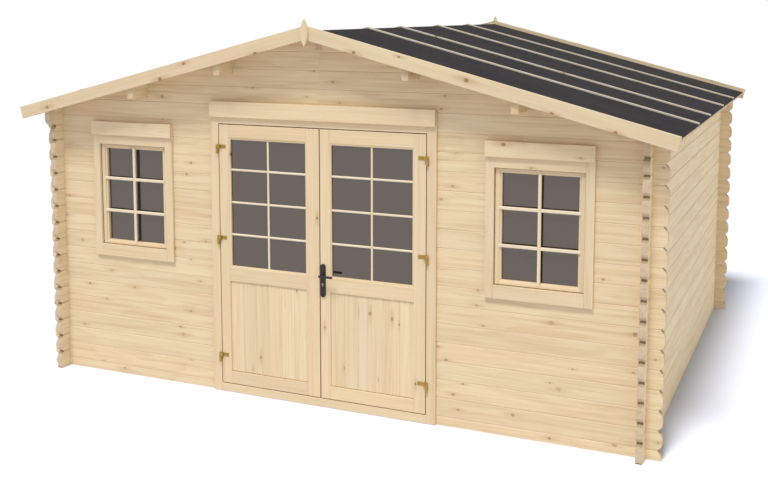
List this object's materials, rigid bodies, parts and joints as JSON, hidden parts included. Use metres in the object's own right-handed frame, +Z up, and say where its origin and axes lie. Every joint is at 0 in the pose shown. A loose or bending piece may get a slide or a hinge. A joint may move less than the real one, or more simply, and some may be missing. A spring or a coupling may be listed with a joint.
{
  "type": "wooden garden house",
  "caption": "Garden house of interlocking logs with a glazed double door that swings outwards, small-paned windows and a shallow gable roof of boards, felt and battens.",
  "frame": {"origin": "middle of the plan at ground level", "axes": "+X to the right seen from the front, +Y from the front wall to the back wall, +Z up"},
  "size_m": [4.588, 3.916, 2.551],
  "materials": {
    "log_wood": "planed spruce, bare",
    "joinery_wood": "planed spruce, bare",
    "roof_wood": "planed spruce, bare",
    "floor_wood": "planed spruce, bare",
    "felt": "fine mineral grit on bitumen felt",
    "glass": "clear",
    "brass": "yellow zinc plate, satin",
    "black_metal": "black, satin"
  },
  "bodies": {
    "house": {"floor_bearers": "floor_wood", "floor_deck": "floor_wood", "front_wall_left": "log_wood", "front_wall_right": "log_wood", "front_gable": "log_wood", "back_wall": "log_wood", "left_wall": "log_wood", "right_wall": "log_wood", "purlins": "roof_wood", "roof_boards_left": "roof_wood", "roof_boards_right": "roof_wood", "roof_felt_left": "felt", "roof_felt_right": "felt", "roof_battens_left": "roof_wood", "roof_battens_right": "roof_wood", "front_bargeboard_left": "joinery_wood", "front_bargeboard_right": "joinery_wood", "back_bargeboard_left": "joinery_wood", "back_bargeboard_right": "joinery_wood", "front_finial": "joinery_wood", "back_finial": "joinery_wood", "door_jambs": "joinery_wood", "door_head": "joinery_wood", "door_sill": "joinery_wood", "door_header": "joinery_wood", "hinge_pins_left": "brass", "hinge_pins_right": "brass", "window_casing_left": "joinery_wood", "window_casing_right": "joinery_wood", "window_headers": "joinery_wood", "window_sash_left": "joinery_wood", "window_sash_right": "joinery_wood", "window_glass": "glass"},
    "left_leaf": {"left_leaf_frame": "joinery_wood", "left_leaf_glass": "glass", "left_leaf_panel": "joinery_wood", "left_leaf_hinges": "brass"},
    "right_leaf": {"right_leaf_frame": "joinery_wood", "right_leaf_glass": "glass", "right_leaf_panel": "joinery_wood", "right_leaf_hinges": "brass", "lock_plates": "black_metal"},
    "lever": {"lever_handle": "black_metal"}
  },
  "joints": [
    {"name": "left_leaf_swing", "type": "hinge", "parent": "house", "child": "left_leaf", "pos_m": [-0.757, -1.78, 0.95], "axis": [0, 0, -1], "range_deg": [0, 170]},
    {"name": "right_leaf_swing", "type": "hinge", "parent": "house", "child": "right_leaf", "pos_m": [0.757, -1.78, 0.95], "axis": [0, 0, 1], "range_deg": [0, 170]},
    {"name": "lever_turn", "type": "hinge", "parent": "right_leaf", "child": "lever", "pos_m": [0.032, -1.75, 0.893], "axis": [0, 1, 0], "range_deg": [0, 40], "stiffness_Nm_per_rad": 2, "springref_deg": -22.92}
  ]
}
